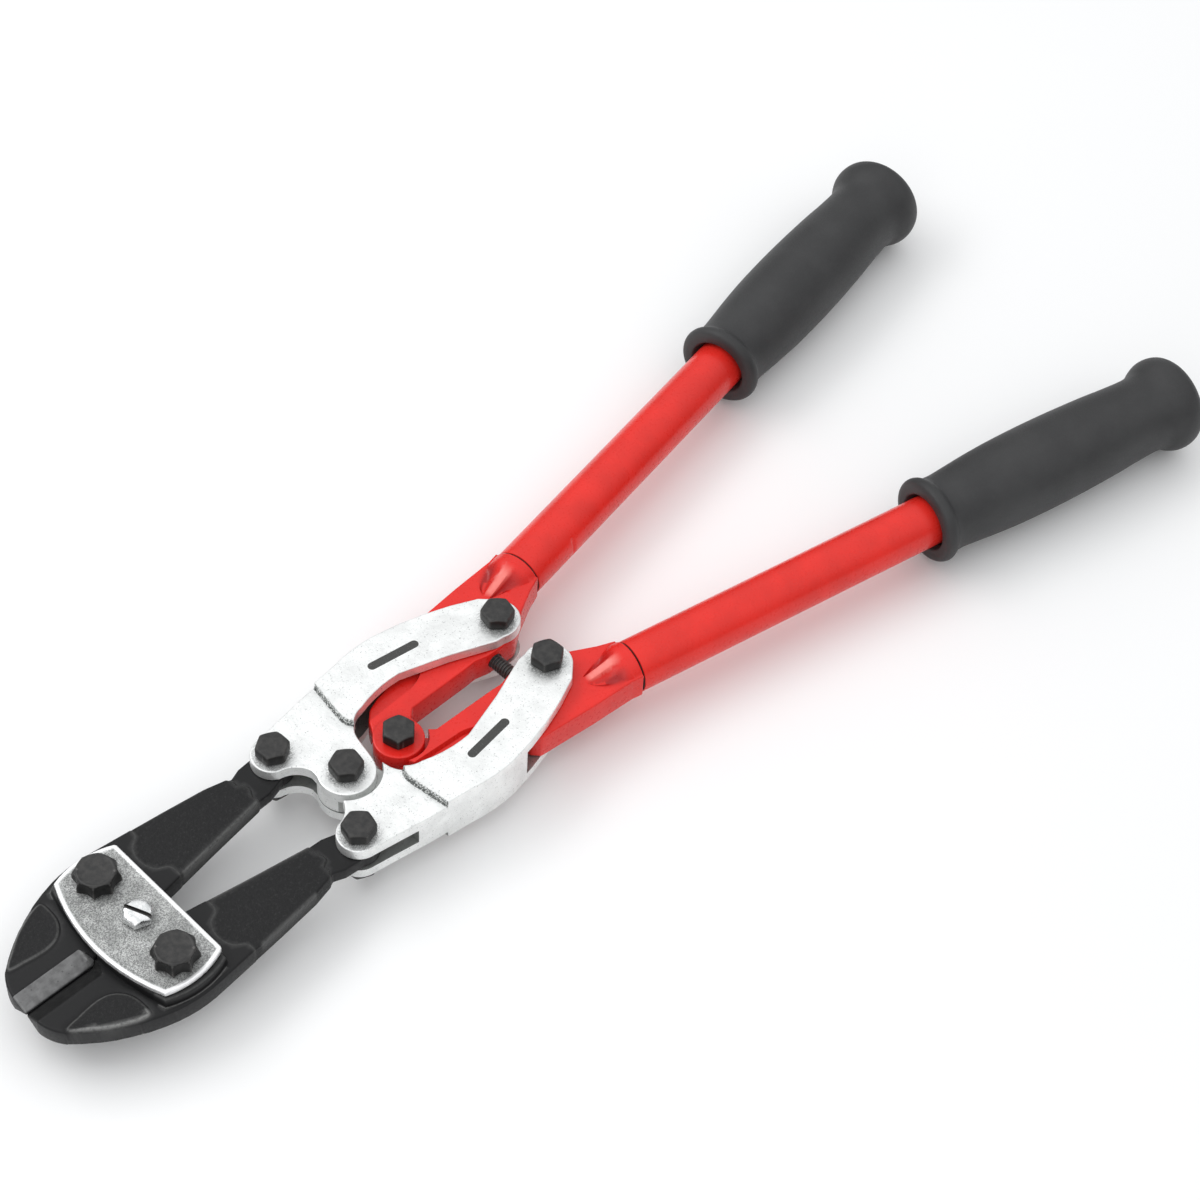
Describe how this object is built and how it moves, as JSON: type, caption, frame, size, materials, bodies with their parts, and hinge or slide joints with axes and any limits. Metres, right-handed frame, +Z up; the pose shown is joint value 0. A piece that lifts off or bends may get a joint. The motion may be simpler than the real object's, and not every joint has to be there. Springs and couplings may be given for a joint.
{
  "type": "bolt cutters",
  "caption": "Compound-lever bolt cutters with black forged jaws, zinc plated links, red tubular handles and dark rubber grips, lying closed.",
  "frame": {"origin": "on the surface that the grips rest on, under the middle of the tool's overall length and width", "axes": "+X runs from the jaws to the grips, +Y is the left handle's side, +Z is up along the pivot bolts"},
  "size_m": [0.5108, 0.1928, 0.0384],
  "materials": {
    "black_forging": "satin black forged steel with ground edges",
    "zinc_plate": "bright zinc plating over a cast surface",
    "black_fastener": "black oxide, satin",
    "red_enamel": "gloss red enamel",
    "grip_rubber": "matte dark grey rubber"
  },
  "bodies": {
    "centre_pivot": {"centre_bolt": "black_fastener", "centre_nut": "black_fastener"},
    "left_link": {"left_link": "zinc_plate", "left_link_bolt": "black_fastener", "left_link_nut": "black_fastener"},
    "right_link": {"right_link": "zinc_plate", "right_link_bolt": "black_fastener", "right_link_nut": "black_fastener"},
    "left_jaw": {"left_jaw": "black_forging"},
    "right_jaw": {"right_jaw": "black_forging"},
    "head_strap": {"upper_strap": "zinc_plate", "lower_strap": "zinc_plate", "clamp_screw": "zinc_plate", "clamp_nut": "zinc_plate", "left_jaw_bolt": "black_fastener", "left_jaw_nut": "black_fastener", "right_jaw_bolt": "black_fastener", "right_jaw_nut": "black_fastener"},
    "left_handle": {"left_handle_forging": "red_enamel", "left_handle_tube": "red_enamel", "left_grip": "grip_rubber", "left_handle_bolt": "black_fastener", "left_handle_nut": "black_fastener", "hinge_bolt": "black_fastener", "hinge_nut": "black_fastener", "stop_screw": "black_fastener"},
    "right_handle": {"right_handle_forging": "red_enamel", "right_handle_tube": "red_enamel", "right_grip": "grip_rubber", "right_handle_bolt": "black_fastener", "right_handle_nut": "black_fastener"}
  },
  "joints": [
    {"name": "opening", "type": "hinge", "parent": "centre_pivot", "child": "left_link", "pos_m": [-0.11527, 0, 0.0192], "axis": [0, 0, 1], "range_deg": [0, 25]},
    {"name": "right_link_pivot", "type": "hinge", "parent": "centre_pivot", "child": "right_link", "pos_m": [-0.11527, 0, 0.0192], "axis": [0, 0, 1], "range_deg": [-25.2, 0.2]},
    {"name": "left_jaw_pivot", "type": "hinge", "parent": "left_link", "child": "left_jaw", "pos_m": [-0.12946, 0.0229, 0.0192], "axis": [0, 0, 1], "range_deg": [-30.9, 0.2]},
    {"name": "right_jaw_pivot", "type": "hinge", "parent": "right_link", "child": "right_jaw", "pos_m": [-0.12946, -0.0229, 0.0192], "axis": [0, 0, 1], "range_deg": [-0.2, 30.9]},
    {"name": "strap_pivot", "type": "hinge", "parent": "left_jaw", "child": "head_strap", "pos_m": [-0.20827, 0.0209, 0.0192], "axis": [0, 0, 1], "range_deg": [-0.1, 5.9]},
    {"name": "left_handle_pivot", "type": "hinge", "parent": "left_link", "child": "left_handle", "pos_m": [-0.03106, 0.0131, 0.0192], "axis": [0, 0, 1], "range_deg": [-0.2, 12.8]},
    {"name": "right_handle_pivot", "type": "hinge", "parent": "right_link", "child": "right_handle", "pos_m": [-0.03106, -0.0131, 0.0192], "axis": [0, 0, 1], "range_deg": [-12.8, 0.2]}
  ],
  "couplings": [
    {"joint": "right_link_pivot", "follows": "opening", "ratio": -1},
    {"joint": "left_jaw_pivot", "follows": "opening", "ratio": -1.228},
    {"joint": "right_jaw_pivot", "follows": "opening", "ratio": 1.228},
    {"joint": "strap_pivot", "follows": "opening", "ratio": 0.228},
    {"joint": "left_handle_pivot", "follows": "opening", "ratio": 0.5},
    {"joint": "right_handle_pivot", "follows": "opening", "ratio": -0.5}
  ]
}
